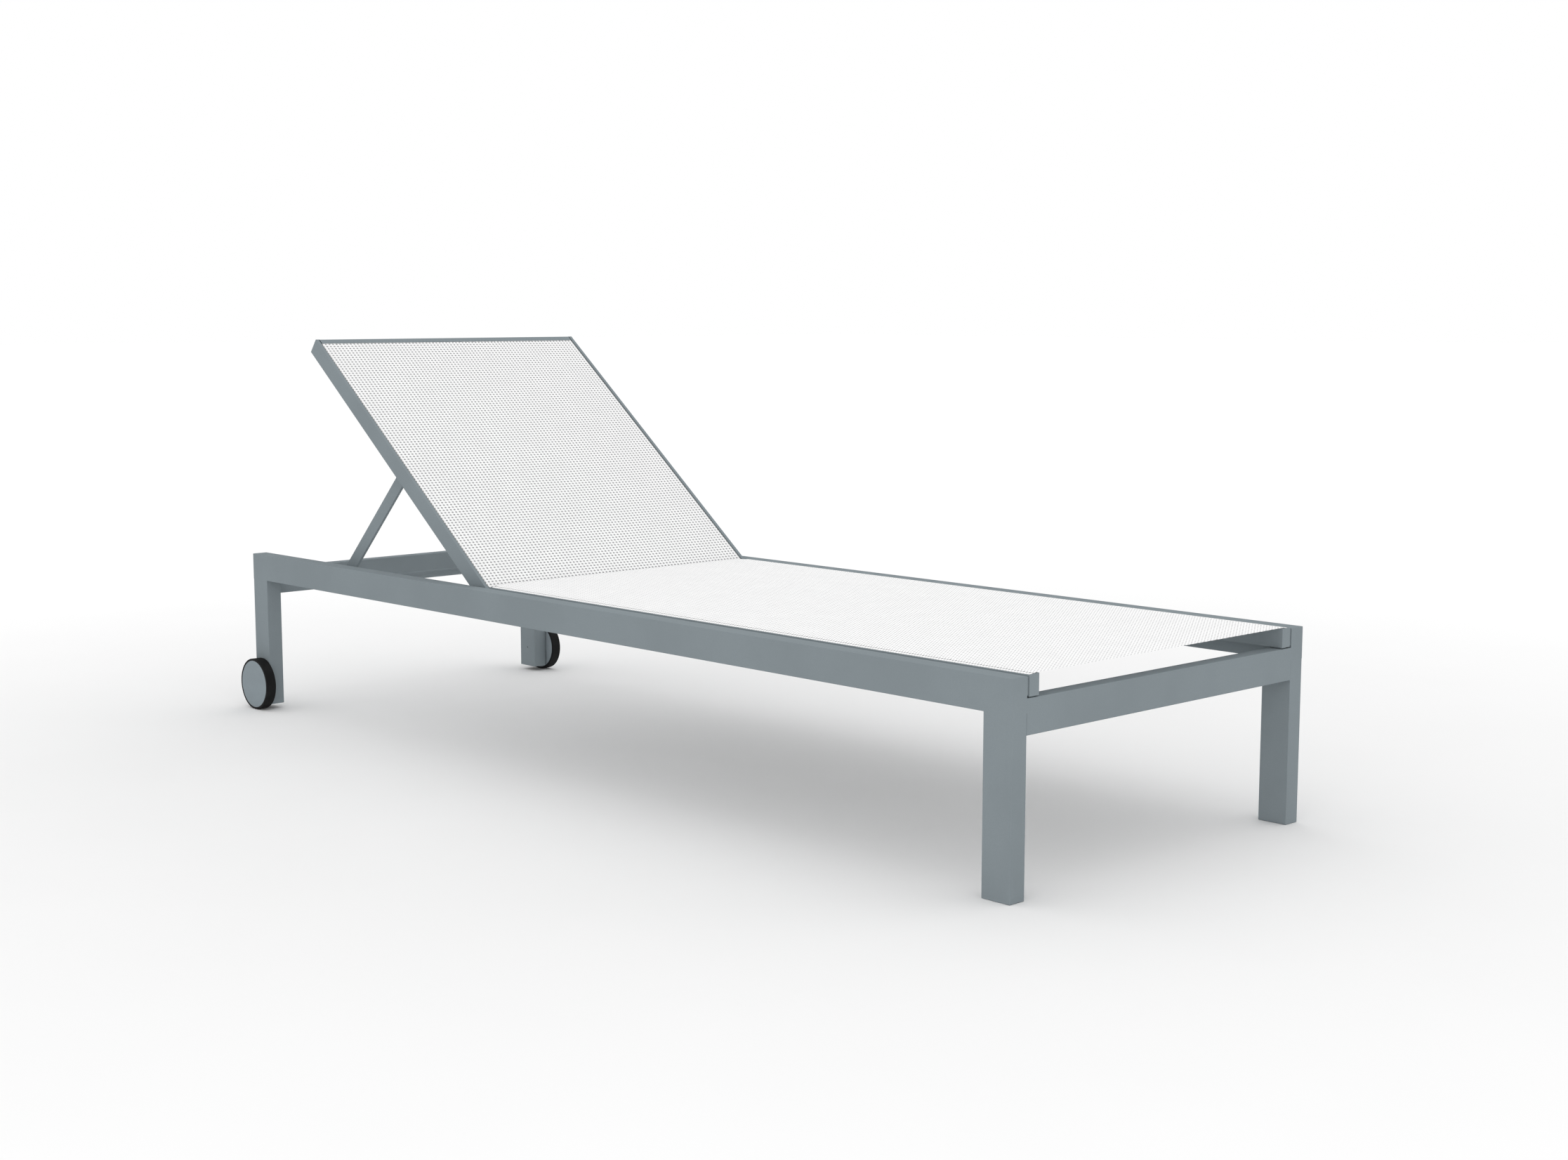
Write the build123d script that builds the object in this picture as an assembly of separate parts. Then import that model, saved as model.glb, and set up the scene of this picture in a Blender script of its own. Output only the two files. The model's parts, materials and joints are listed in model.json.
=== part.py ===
from build123d import *
import math
import os

# Reclining sun lounger, head towards -X, feet towards +X, +Z up.
# The origin is on the floor, under the middle of the overall box.
# "left" is +Y and "right" is -Y; the right-hand pieces mirror the left-hand ones.

# ---------------------------------------------------------------- driving dimensions, mm and degrees
# Frame
frame_length = 1960.0          # outer face of the head legs to outer face of the foot legs
frame_width = 675.0            # across the outer faces of the side rails
rail_top = 305.0               # top face of the side rails above the floor
tube_depth = 50.0              # large side of the rail and leg tube
tube_width = 30.0              # small side of the rail and leg tube
tube_wall = 2.0
tube_corner = 0.8              # outside corner radius of the tubes
end_plate = 3.0                # welded plate that closes each rail end
cross_rail_width = 25.0        # small side of the two cross rails
cross_rail_drop = 30.0         # cross rail top below side rail top
head_leg_lift = 10.0           # head legs stop this far above the floor
glide_thickness = 3.0
glide_edge = 0.75              # chamfer round the sole of a glide
plug_length = 15.0             # how far the plugs reach into the legs
plug_clearance = 0.15

# Seat
seat_length = 1231.0           # foot face to the backrest hinge axis
rail_gap = 4.0                 # side rail to seat rail, and side rail to backrest bar
seat_rail_width = 20.0
seat_rail_height = 30.0
seat_rail_rise = 2.0           # inner top edge of the seat rail above the side rail top
seat_rail_fall = 1.0           # its top slopes down by this towards the outside
seat_rail_corner = 0.8         # radius of the outer top edge
bar_wall = 1.8
cap_thickness = 2.0
hinge_gap = 1.5                # seat rail end to the round nose of the backrest bar
spreader_size = 20.0           # square tubes between the seat rails
spreader_inset = 8.0           # spreader top below the sling
spreader_places = (537.5, 937.5)             # front and middle spreader from the foot face
spreader_rear_place = 45.0     # rear spreader from the hinge axis
bolt_places = (250.0, 725.0)   # front and middle seat rail bolts from the foot face
bolt_rear_place = 72.5         # rear seat rail bolt from the hinge axis
pad_margin = 4.0               # welded pad inside the edges of the rails it joins

# Slings and the grooves that hold them
sling_thickness = 1.2
sling_overhang = 7.0           # rear edge of the seat sling past the seat rails
spline_radius = 2.4
channel_radius = 3.2
channel_depth = 7.6            # channel axis below the outer top edge of its rail or bar
slot_width = 2.5

# Backrest
back_length = 685.5            # hinge axis to the top end of the bars
back_angle = 38.2              # backrest above the horizontal as modelled
raised_angle = 50.0            # the most that it is raised
bar_width = 20.0
bar_depth = 30.0
bar_lip = 6.0                  # outer strip of the bar's front that stays bare
bar_shelf = 1.5                # sling seat below that strip
nose_length = 7.5              # pivot block past the hinge axis, before the bar begins
nose_stem = 30.0
sling_start = 8.0              # backrest sling, lower end in the slots from the hinge axis
sling_lap = 6.0                # its free lower edge past that, over the pivot blocks
sling_inset = 11.5             # backrest sling, upper edge below the ends of the bars
top_bar_height = 19.0
top_bar_depth = 20.0
top_bar_inset = 0.5            # top bar below the ends of the side bars
top_bar_lip_gap = 0.4          # between the sling's upper edge and the strip above it
back_spreader_place = 170.0    # from the hinge axis
back_spreader_depth = 15.0

# Hinge and bolts
pivot_radius = 4.0
bush_wall = 1.5
running_clearance = 0.05       # radial, shaft in bush or hole
side_clearance = 0.3           # between the flat faces of pieces that turn past each other
hinge_head_radius = 8.0
hinge_head_height = 4.0
washer_radius = 9.0
nut_radius = 6.5
nut_height = 5.0
bolt_radius = 3.0
bolt_head_radius = 5.5
bolt_head_height = 3.3
spacer_inset = 1.5             # spacer strip inside the edges of the rails it joins

# Prop
prop_pivot_place = 334.0       # prop pivot along the bar from the hinge axis
prop_pivot_inset = 5.5         # prop pivot behind the middle of the bar
prop_length = 321.0            # prop pivot to rod axis
prop_width = 24.0
prop_thickness = 5.0
prop_washer = 0.9
rod_radius = 6.0
rod_wall = 2.0
rod_below_bar = 3.5            # rod top below the folded bars' level, backrest raised
rod_below_bar_flat = 1.3       # the same with the backrest flat
rod_end_gap = 2.0              # rod end to the rack's upright
rod_cap = 2.0

# Rack that the rod rests on
rack_angles = (20.0, 29.0, 38.2, 44.5, 50.0)  # backrest angle of each notch
rack_ledge_width = 18.0
rack_upright = 2.5
rack_upright_height = 28.0     # above the ledge
rack_ledge_height = 7.5
rack_end = 20.0                # rack past the rod's place nearest to the feet
rack_leg_gap = 2.0             # rack to head leg
notch_depth = 4.0
notch_clearance = 0.5
rack_clearance = 0.4           # rack ledge below the lowest point of the rod's travel
screw_radius = 2.0
screw_head_radius = 4.0
screw_head_height = 2.0
screw_length = 9.0
screw_height = 15.0            # rack screws above the ledge
screw_inset = 31.0             # outer rack screws from the rack's ends
travel_steps = 50              # places at which the rod's travel is looked at

# Wheels
wheel_radius = 50.0
wheel_width = 20.0
wheel_gap = 1.0                # leg to tyre
tyre_thickness = 4.0
tyre_edge = 0.8
hub_rim = 5.0
hub_web = 4.0
hub_boss_wall = 3.0
wheel_bush_wall = 2.0
axle_radius = 6.0
retainer_radius = 10.0
retainer_height = 1.5
hub_cap_thickness = 3.0
hub_cap_skirt = 2.0
hub_cap_inset = 0.2            # hub cap face below the tyre's side

# ---------------------------------------------------------------- places worked out from them
wheel_reach = max(0.0, wheel_radius - tube_depth / 2)
foot_x = (frame_length + wheel_reach) / 2
head_x = foot_x - frame_length
hinge_x = foot_x - seat_length
hinge_z = rail_top - bar_depth / 2

half_width = frame_width / 2
rail_y = half_width - tube_width / 2
rail_inner_y = half_width - tube_width
rail_bottom = rail_top - tube_depth
cross_rail_z = rail_top - cross_rail_drop - tube_depth / 2

seat_outer_y = rail_inner_y - rail_gap
seat_inner_y = seat_outer_y - seat_rail_width
seat_top = rail_top + seat_rail_rise
seat_top_outer = seat_top - seat_rail_fall
seat_bottom = seat_top - seat_rail_height
seat_rear_x = hinge_x + bar_depth / 2 + hinge_gap
seat_slot_y = seat_outer_y - bar_wall - slot_width / 2
seat_channel_y = seat_outer_y - bar_wall - channel_radius
seat_channel_z = seat_top_outer - channel_depth
seat_chamber_top = seat_channel_z - channel_radius - bar_wall
seat_bolt_z = (seat_bottom + bar_wall + seat_chamber_top) / 2

sling_end = back_length - sling_inset
bar_outer_y = seat_outer_y
bar_inner_y = bar_outer_y - bar_width
bar_bottom = hinge_z - bar_depth / 2
bar_front = hinge_z + bar_depth / 2
shelf_z = bar_front - bar_shelf
bar_slot_y = bar_outer_y - bar_lip - slot_width      # inner side of the slot
bar_channel_y = bar_slot_y + slot_width / 2
bar_channel_z = bar_front - channel_depth
bar_chamber_top = bar_channel_z - channel_radius - bar_wall

bush_radius = pivot_radius + bush_wall
hole_radius = pivot_radius + running_clearance
bolt_hole_radius = bolt_radius + running_clearance
screw_hole_radius = screw_radius + running_clearance
spreader_z = seat_top - spreader_inset - spreader_size / 2
wheel_x = head_x + tube_depth / 2

recline_axis = Axis((hinge_x, 0, hinge_z), (0, 1, 0))


def back_point(along, above, angle):
    """World x and z of a point of the backrest, along the bar and above its middle."""
    turn = math.radians(angle)
    x = hinge_x - along * math.cos(turn) + above * math.sin(turn)
    z = hinge_z + along * math.sin(turn) + above * math.cos(turn)
    return x, z


def prop_angle_for(angle, rod_z):
    """Angle of the prop below the horizontal that puts its rod at rod_z."""
    pivot_z = back_point(prop_pivot_place, -prop_pivot_inset, angle)[1]
    return math.degrees(math.asin((pivot_z - rod_z) / prop_length))


# The prop turns at a constant ratio to the backrest, set by its raised and its folded place.
rod_rest_z = bar_bottom - rod_below_bar - rod_radius
rod_flat_z = bar_bottom - rod_below_bar_flat - rod_radius
prop_angle = prop_angle_for(back_angle, rod_rest_z)
prop_ratio = (prop_angle - prop_angle_for(0.0, rod_flat_z)) / back_angle


def rod_point(angle):
    """World x and z of the prop's rod with the backrest at an angle."""
    pivot_x, pivot_z = back_point(prop_pivot_place, -prop_pivot_inset, angle)
    turn = math.radians(prop_angle + prop_ratio * (angle - back_angle))
    return pivot_x - prop_length * math.cos(turn), pivot_z - prop_length * math.sin(turn)


travel = [rod_point(raised_angle * step / travel_steps) for step in range(travel_steps + 1)]
rack_top = min(z for x, z in travel) - rod_radius - rack_clearance
rack_bottom = rack_top - rack_ledge_height
rack_front_x = max(x for x, z in travel) + rack_end
rack_rear_x = head_x + tube_depth + rack_leg_gap
rod_end_y = rail_inner_y - rack_upright - rod_end_gap


# ---------------------------------------------------------------- shapes used more than once
def block(x_from, x_to, y_from, y_to, z_from, z_to):
    """Box between two corners."""
    middle = Pos((x_from + x_to) / 2, (y_from + y_to) / 2, (z_from + z_to) / 2)
    return middle * Box(abs(x_to - x_from), abs(y_to - y_from), abs(z_to - z_from))


def rod_y(radius, y_from, y_to, x, z):
    """Round bar along Y."""
    return Pos(x, (y_from + y_to) / 2, z) * Rot(90, 0, 0) * Cylinder(radius, abs(y_to - y_from))


def ring_y(radius, bore, y_from, y_to, x, z):
    """Round bar along Y with a bore."""
    return rod_y(radius, y_from, y_to, x, z) - rod_y(bore, y_from, y_to, x, z)


def hex_y(radius, y_from, y_to, x, z):
    """Hexagonal bar along Y; radius is over the corners."""
    outline = Plane.XZ * RegularPolygon(radius, 6)
    return Pos(x, max(y_from, y_to), z) * extrude(outline, amount=abs(y_to - y_from))


def box_section(width, height, wall):
    """Hollow rectangular tube section with rounded outside corners."""
    outside = RectangleRounded(width, height, tube_corner)
    return outside - Rectangle(width - 2 * wall, height - 2 * wall)


def along_x(section, x_from, x_to):
    """Extrude a section drawn in Y and Z between two places along X."""
    return Pos(x_from, 0, 0) * extrude(Plane.YZ * section, amount=x_to - x_from)


def tube_y(width, height, wall, y_to, x, z):
    """Rectangular tube along Y, as long on both sides of the middle."""
    section = Plane.XZ * box_section(width, height, wall)
    return Pos(x, 0, z) * extrude(section, amount=y_to, both=True)


def mirrored(shape):
    return mirror(shape, about=Plane.XZ)


def pair(shape):
    """A left-hand piece and its mirror image."""
    return [shape, mirrored(shape)]


def reclined(shape):
    """Turn a piece of the folded-down backrest up to its modelled angle."""
    return shape.rotate(recline_axis, back_angle)


# ---------------------------------------------------------------- base frame
bolt_xs = [foot_x - place for place in bolt_places] + [hinge_x + bolt_rear_place]
screw_xs = [rack_rear_x + screw_inset, (rack_rear_x + rack_front_x) / 2, rack_front_x - screw_inset]
screw_z = rack_top + screw_height
inner_wall_y = rail_inner_y + tube_wall


def make_side_rail():
    section = Pos(rail_y, rail_top - tube_depth / 2) * box_section(tube_width, tube_depth, tube_wall)
    rail = along_x(section, head_x + end_plate, foot_x - end_plate)
    rail -= rod_y(hole_radius, rail_inner_y, inner_wall_y, hinge_x, hinge_z)
    for x in bolt_xs:
        rail -= rod_y(bolt_hole_radius, rail_inner_y, inner_wall_y, x, seat_bolt_z)
    for x in screw_xs:
        rail -= rod_y(screw_hole_radius, rail_inner_y, inner_wall_y, x, screw_z)
    return rail


def make_end_plates():
    """The plates that close one side rail at the foot and at the head."""
    outline = Pos(rail_y, rail_top - tube_depth / 2) * RectangleRounded(tube_width, tube_depth, tube_corner)
    foot = along_x(outline, foot_x - end_plate, foot_x)
    head = along_x(outline, head_x, head_x + end_plate)
    return [foot, head]


def make_leg(x_middle, z_from):
    section = box_section(tube_depth, tube_width, tube_wall)
    return Pos(x_middle, rail_y, z_from) * extrude(section, amount=rail_bottom - z_from)


def make_head_leg():
    leg = make_leg(wheel_x, head_leg_lift)
    leg -= rod_y(axle_radius + running_clearance, half_width - tube_wall, half_width, wheel_x, wheel_radius)
    return leg - countersink(wheel_x, wheel_radius, rail_inner_y, tube_wall)


def plug_stem():
    """Hollow stem of a leg plug, a sliding fit in the tube."""
    fit = 2 * (tube_wall + plug_clearance)
    length, width = tube_depth - fit, tube_width - fit
    stem = Rectangle(length, width) - Rectangle(length - 2 * tube_wall, width - 2 * tube_wall)
    return extrude(stem, amount=plug_length)


def make_foot_glide():
    plate = extrude(RectangleRounded(tube_depth, tube_width, tube_corner), amount=glide_thickness)
    plate = chamfer(plate.edges().group_by(Axis.Z)[0], glide_edge)
    glide = plate + Pos(0, 0, glide_thickness) * plug_stem()
    return Pos(foot_x - tube_depth / 2, rail_y, 0) * glide


def make_head_plug():
    fit = 2 * (tube_wall + plug_clearance)
    floor = extrude(Rectangle(tube_depth - fit, tube_width - fit), amount=tube_wall)
    return Pos(wheel_x, rail_y, head_leg_lift) * (floor + plug_stem())


def make_cross_rail(x_middle):
    return tube_y(cross_rail_width, tube_depth, tube_wall, rail_inner_y, x_middle, cross_rail_z)


# ---------------------------------------------------------------- seat
def seat_rail_outline():
    corners = [
        (seat_inner_y, seat_bottom),
        (seat_outer_y, seat_bottom),
        (seat_outer_y, seat_top_outer),
        (seat_inner_y, seat_top),
    ]
    outline = Polygon(*corners, align=None)
    upper = outline.vertices().sort_by(Axis.Y)[-2:].sort_by(Axis.X)[-1]
    return fillet(upper, seat_rail_corner)


def seat_rail_chamber():
    """Hollow of the seat rail under the sling channel."""
    width = seat_rail_width - 2 * bar_wall
    height = seat_chamber_top - seat_bottom - bar_wall
    centre = Pos((seat_inner_y + seat_outer_y) / 2, (seat_chamber_top + seat_bottom + bar_wall) / 2)
    return centre * Rectangle(width, height)


def make_seat_rail():
    channel = Pos(seat_channel_y, seat_channel_z) * Circle(channel_radius)
    slot_height = seat_top - seat_channel_z
    slot = Pos(seat_slot_y, seat_channel_z + slot_height / 2) * Rectangle(slot_width, slot_height)
    section = seat_rail_outline() - seat_rail_chamber() - channel - slot
    rail = along_x(section, seat_rear_x + cap_thickness, foot_x - cap_thickness)
    for x in bolt_xs:
        rail -= rod_y(bolt_hole_radius, seat_inner_y, seat_outer_y, x, seat_bolt_z)
    return rail


def make_seat_caps():
    """End caps of one seat rail, flush with its outside."""
    foot = along_x(seat_rail_outline(), foot_x - cap_thickness, foot_x)
    rear = along_x(seat_rail_outline(), seat_rear_x, seat_rear_x + cap_thickness)
    return [foot, rear]


def make_seat_pad():
    """Welded pad that carries the seat rail on the foot cross rail."""
    plan = Rectangle(cross_rail_width - 2 * pad_margin, seat_rail_width - 2 * pad_margin)
    cross_rail_top = rail_top - cross_rail_drop
    middle = Pos(foot_x - cross_rail_width / 2, (seat_inner_y + seat_outer_y) / 2, cross_rail_top)
    return middle * extrude(plan, amount=seat_bottom - cross_rail_top)


def make_seat_spreader(x):
    return tube_y(spreader_size, spreader_size, bar_wall, seat_inner_y, x, spreader_z)


def make_seat_bolt(x):
    """Bolt from inside the seat rail through the spacer into the side rail."""
    head = hex_y(bolt_head_radius, seat_inner_y - bolt_head_height, seat_inner_y, x, seat_bolt_z)
    shank = rod_y(bolt_radius, seat_inner_y, inner_wall_y + nut_height, x, seat_bolt_z)
    return head + shank


def make_seat_spacer():
    """Strip that fills the gap between the seat rail and the side rail."""
    x_from, x_to = seat_rear_x + spacer_inset, foot_x - spacer_inset
    z_from, z_to = seat_bottom + spacer_inset, rail_top - spacer_inset
    strip = block(x_from, x_to, seat_outer_y, rail_inner_y, z_from, z_to)
    for x in bolt_xs:
        strip -= rod_y(bolt_hole_radius, seat_outer_y, rail_inner_y, x, seat_bolt_z)
    return strip


def make_seat_nut(x):
    nut = hex_y(nut_radius, inner_wall_y, inner_wall_y + nut_height, x, seat_bolt_z)
    return nut - rod_y(bolt_hole_radius, inner_wall_y, inner_wall_y + nut_height, x, seat_bolt_z)


def make_seat_sling():
    """Sheet over both seat rails, turned down into the slots in their tops."""
    half = sling_thickness / 2
    slope = seat_rail_fall / seat_rail_width
    lift = half / math.cos(math.atan(slope))
    edge_y = seat_slot_y - slot_width / 2 + half + running_clearance
    side = [
        (seat_inner_y, seat_top + lift),
        (edge_y, seat_top + lift - slope * (edge_y - seat_inner_y)),
        (edge_y, seat_channel_z + spline_radius + plug_clearance),
    ]
    bends = [0, half + running_clearance]
    points = [(-y, z) for y, z in side[::-1]] + side
    path = FilletPolyline(*points, radius=bends[::-1] + bends)
    sheet_rear_x = seat_rear_x + cap_thickness
    sheet = along_x(trace(path, sling_thickness), sheet_rear_x, foot_x - cap_thickness)
    flap_x = seat_rear_x - sling_overhang
    flap_top = seat_top + sling_thickness
    flap = block(flap_x, sheet_rear_x, -seat_inner_y, seat_inner_y, seat_top, flap_top)
    return sheet + flap


def make_seat_spline():
    return Pos(seat_rear_x + cap_thickness, seat_channel_y, seat_channel_z) * Rot(0, 90, 0) * Cylinder(
        spline_radius,
        foot_x - seat_rear_x - 2 * cap_thickness,
        align=(Align.CENTER, Align.CENTER, Align.MIN),
    )


# ---------------------------------------------------------------- backrest, drawn folded flat
def bar_section():
    """Section of a backrest bar: bare strip, sling slot, channel and chamber."""
    corners = [
        (bar_inner_y, bar_bottom),
        (bar_outer_y, bar_bottom),
        (bar_outer_y, bar_front),
        (bar_outer_y - bar_lip, bar_front),
        (bar_outer_y - bar_lip, shelf_z),
        (bar_inner_y, shelf_z),
    ]
    chamber_height = bar_chamber_top - bar_bottom - bar_wall
    chamber_z = (bar_chamber_top + bar_bottom + bar_wall) / 2
    bar_y = (bar_inner_y + bar_outer_y) / 2
    outline = Polygon(*corners, align=None)
    chamber = Pos(bar_y, chamber_z) * Rectangle(bar_width - 2 * bar_wall, chamber_height)
    channel = Pos(bar_channel_y, bar_channel_z) * Circle(channel_radius)
    slot_height = bar_front - bar_channel_z
    slot = Pos(bar_channel_y, bar_channel_z + slot_height / 2) * Rectangle(slot_width, slot_height)
    return outline - chamber - channel - slot


def prop_hole(radius, y_from, y_to):
    x, z = back_point(prop_pivot_place, -prop_pivot_inset, 0)
    return rod_y(radius, y_from, y_to, x, z)


def make_back_bar():
    bar = along_x(bar_section(), hinge_x - back_length + cap_thickness, hinge_x - nose_length)
    return bar - prop_hole(hole_radius, bar_inner_y, bar_inner_y + bar_wall)


def make_back_cap():
    """Flush cap on the top end of a backrest bar, which closes the end of its slot."""
    top_x = hinge_x - back_length
    low = block(top_x, top_x + cap_thickness, bar_inner_y, bar_outer_y, bar_bottom, shelf_z)
    lip = block(top_x, top_x + cap_thickness, bar_slot_y, bar_outer_y, bar_bottom, bar_front)
    return low + lip


def make_pivot_block():
    """Round-nosed block at the lower end of a bar, with a stem inside the bar."""
    radius = bar_depth / 2
    start_x = hinge_x - nose_length
    nose = rod_y(radius, bar_inner_y, bar_outer_y, hinge_x, hinge_z)
    nose -= block(start_x, hinge_x - radius, bar_inner_y, bar_outer_y, bar_bottom, bar_front)
    nose += block(start_x, hinge_x, bar_inner_y, bar_outer_y, bar_bottom, bar_front)
    nose -= block(start_x, hinge_x + radius, bar_inner_y, bar_outer_y - bar_lip, shelf_z, bar_front)
    fit = bar_wall + plug_clearance
    stem = block(
        start_x - nose_stem,
        start_x,
        bar_inner_y + fit,
        bar_outer_y - fit,
        bar_bottom + fit,
        bar_chamber_top - plug_clearance,
    )
    return nose + stem - rod_y(bush_radius, bar_inner_y, bar_outer_y, hinge_x, hinge_z)


def make_pivot_bush():
    return ring_y(bush_radius, hole_radius, bar_inner_y, bar_outer_y, hinge_x, hinge_z)


def make_top_bar():
    """Tube between the bars' upper ends, with a strip over them at the level of their lips."""
    end_x = hinge_x - back_length + top_bar_inset
    tube = tube_y(
        top_bar_height,
        top_bar_depth,
        bar_wall,
        bar_inner_y,
        end_x + top_bar_height / 2,
        shelf_z - top_bar_depth / 2,
    )
    strip_x = hinge_x - sling_end - top_bar_lip_gap
    strip_z = shelf_z - tube_corner
    strip = block(end_x, strip_x, -bar_inner_y, bar_inner_y, strip_z, bar_front)
    return tube + strip + block(end_x, strip_x, -bar_slot_y, bar_slot_y, shelf_z, bar_front)


def make_back_spreader():
    z = bar_chamber_top - back_spreader_depth / 2
    return tube_y(spreader_size, back_spreader_depth, bar_wall, bar_inner_y, hinge_x - back_spreader_place, z)


def make_back_sling():
    """Sheet on the bars' shelves, turned down into their slots."""
    half = sling_thickness / 2
    edge_y = bar_slot_y + half + running_clearance
    side = [(edge_y, shelf_z + half), (edge_y, bar_channel_z + spline_radius + plug_clearance)]
    points = [(-y, z) for y, z in side[::-1]] + side
    path = FilletPolyline(*points, radius=half + running_clearance)
    start_x = hinge_x - sling_start
    sheet = along_x(trace(path, sling_thickness), hinge_x - sling_end, start_x)
    lap_top = shelf_z + sling_thickness
    return sheet + block(start_x, start_x + sling_lap, -bar_slot_y, bar_slot_y, shelf_z, lap_top)


def make_back_spline():
    length = sling_end - sling_start
    spline = Rot(0, 90, 0) * Cylinder(spline_radius, length, align=(Align.CENTER, Align.CENTER, Align.MIN))
    return Pos(hinge_x - sling_end, bar_channel_y, bar_channel_z) * spline


# ---------------------------------------------------------------- hinge and prop fastenings
def make_hinge_bolt():
    """Shoulder bolt from inside the bar into the side rail."""
    head_y = bar_inner_y - side_clearance
    head = rod_y(hinge_head_radius, head_y - hinge_head_height, head_y, hinge_x, hinge_z)
    return head + rod_y(pivot_radius, head_y, inner_wall_y + nut_height, hinge_x, hinge_z)


def make_hinge_washer():
    return ring_y(washer_radius, hole_radius, bar_outer_y + side_clearance, rail_inner_y, hinge_x, hinge_z)


def make_hinge_nut():
    nut = hex_y(nut_radius, inner_wall_y, inner_wall_y + nut_height, hinge_x, hinge_z)
    return nut - rod_y(hole_radius, inner_wall_y, inner_wall_y + nut_height, hinge_x, hinge_z)


arm_outer_y = bar_inner_y - prop_washer - side_clearance
arm_inner_y = arm_outer_y - prop_thickness
bar_wall_y = bar_inner_y + bar_wall


def make_prop_bolt():
    """Shoulder bolt from inside the prop arm into the bar."""
    head_y = arm_inner_y - side_clearance
    return prop_hole(nut_radius, head_y - bolt_head_height, head_y) + prop_hole(
        pivot_radius, head_y, bar_wall_y + nut_height
    )


def make_prop_washer():
    return prop_hole(nut_radius, bar_inner_y - prop_washer, bar_inner_y) - prop_hole(
        hole_radius, bar_inner_y - prop_washer, bar_inner_y
    )


def make_prop_nut():
    x, z = back_point(prop_pivot_place, -prop_pivot_inset, 0)
    nut = hex_y(nut_radius, bar_wall_y, bar_wall_y + nut_height, x, z)
    return nut - prop_hole(hole_radius, bar_wall_y, bar_wall_y + nut_height)


# ---------------------------------------------------------------- prop
pivot_x, pivot_z = back_point(prop_pivot_place, -prop_pivot_inset, back_angle)
rod_x, rod_z = rod_point(back_angle)


def make_prop_arm():
    """Flat strip with round ends from the prop pivot to the rod."""
    half = prop_width / 2
    strip = block(-prop_length, 0, arm_inner_y, arm_outer_y, -half, half)
    strip += rod_y(half, arm_inner_y, arm_outer_y, 0, 0)
    strip += rod_y(half, arm_inner_y, arm_outer_y, -prop_length, 0)
    strip -= rod_y(hole_radius, arm_inner_y, arm_outer_y, 0, 0)
    strip -= rod_y(rod_radius, arm_inner_y, arm_outer_y, -prop_length, 0)
    return Pos(pivot_x, 0, pivot_z) * Rot(0, -prop_angle, 0) * strip


def make_prop_rod():
    reach = rod_end_y - rod_cap
    return ring_y(rod_radius, rod_radius - rod_wall, -reach, reach, rod_x, rod_z)


def make_rod_cap():
    reach = rod_end_y - rod_cap
    cap = rod_y(rod_radius, reach, rod_end_y, rod_x, rod_z)
    return cap + rod_y(rod_radius - rod_wall - plug_clearance, reach - plug_length, reach, rod_x, rod_z)


def make_rack():
    """Angle with notches across its ledge, screwed inside the side rail."""
    ledge_y = rail_inner_y - rack_ledge_width
    face_y = rail_inner_y - rack_upright
    ledge = block(rack_rear_x, rack_front_x, ledge_y, rail_inner_y, rack_bottom, rack_top)
    upright_top = rack_top + rack_upright_height
    rack = ledge + block(rack_rear_x, rack_front_x, face_y, rail_inner_y, rack_bottom, upright_top)
    notch_radius = rod_radius + notch_clearance
    notch_z = rack_top + notch_radius - notch_depth
    for angle in rack_angles:
        rack -= rod_y(notch_radius, ledge_y, face_y, rod_point(angle)[0], notch_z)
    for x in screw_xs:
        rack -= countersink(x, screw_z, face_y, rack_upright)
    return rack


def countersink(x, z, face_y, depth):
    """Countersunk screw hole that opens towards the middle at face_y."""
    sink = Cone(screw_head_radius + running_clearance, screw_hole_radius, screw_head_height)
    sink = Pos(x, face_y + screw_head_height / 2, z) * Rot(-90, 0, 0) * sink
    return sink + rod_y(screw_hole_radius, face_y, face_y + depth, x, z)


def make_screw(x, z, face_y):
    """Countersunk screw, head flush with face_y."""
    head = Cone(screw_head_radius, screw_radius, screw_head_height)
    head = Pos(x, face_y + screw_head_height / 2, z) * Rot(-90, 0, 0) * head
    return head + rod_y(screw_radius, face_y, face_y + screw_length, x, z)


# ---------------------------------------------------------------- wheels
wheel_inner_y = half_width + wheel_gap
wheel_outer_y = wheel_inner_y + wheel_width
rim_radius = wheel_radius - tyre_thickness
cap_face_y = wheel_outer_y - hub_cap_inset
cap_back_y = cap_face_y - hub_cap_thickness
retainer_y = cap_back_y - side_clearance - retainer_height
boss_outer_y = retainer_y - side_clearance
wheel_bush_bore = axle_radius + running_clearance
wheel_bush_radius = wheel_bush_bore + wheel_bush_wall


def wheel_ring(radius, bore, y_from, y_to):
    return ring_y(radius, bore, y_from, y_to, wheel_x, wheel_radius)


def wheel_disc(radius, y_from, y_to):
    return rod_y(radius, y_from, y_to, wheel_x, wheel_radius)


def make_tyre():
    tyre = wheel_disc(wheel_radius, wheel_inner_y, wheel_outer_y)
    rims = tyre.edges().filter_by(GeomType.CIRCLE)
    return fillet(rims, tyre_edge) - wheel_disc(rim_radius, wheel_inner_y, wheel_outer_y)


def make_hub():
    rim = wheel_ring(rim_radius, rim_radius - hub_rim, wheel_inner_y + hub_cap_inset, cap_back_y)
    web_y = wheel_inner_y + hub_cap_inset
    web = wheel_ring(rim_radius - hub_rim / 2, wheel_bush_radius, web_y, web_y + hub_web)
    boss = wheel_ring(wheel_bush_radius + hub_boss_wall, wheel_bush_radius, wheel_inner_y, boss_outer_y)
    return rim + web + boss


def make_wheel_bush():
    return wheel_ring(wheel_bush_radius, wheel_bush_bore, wheel_inner_y, boss_outer_y)


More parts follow.
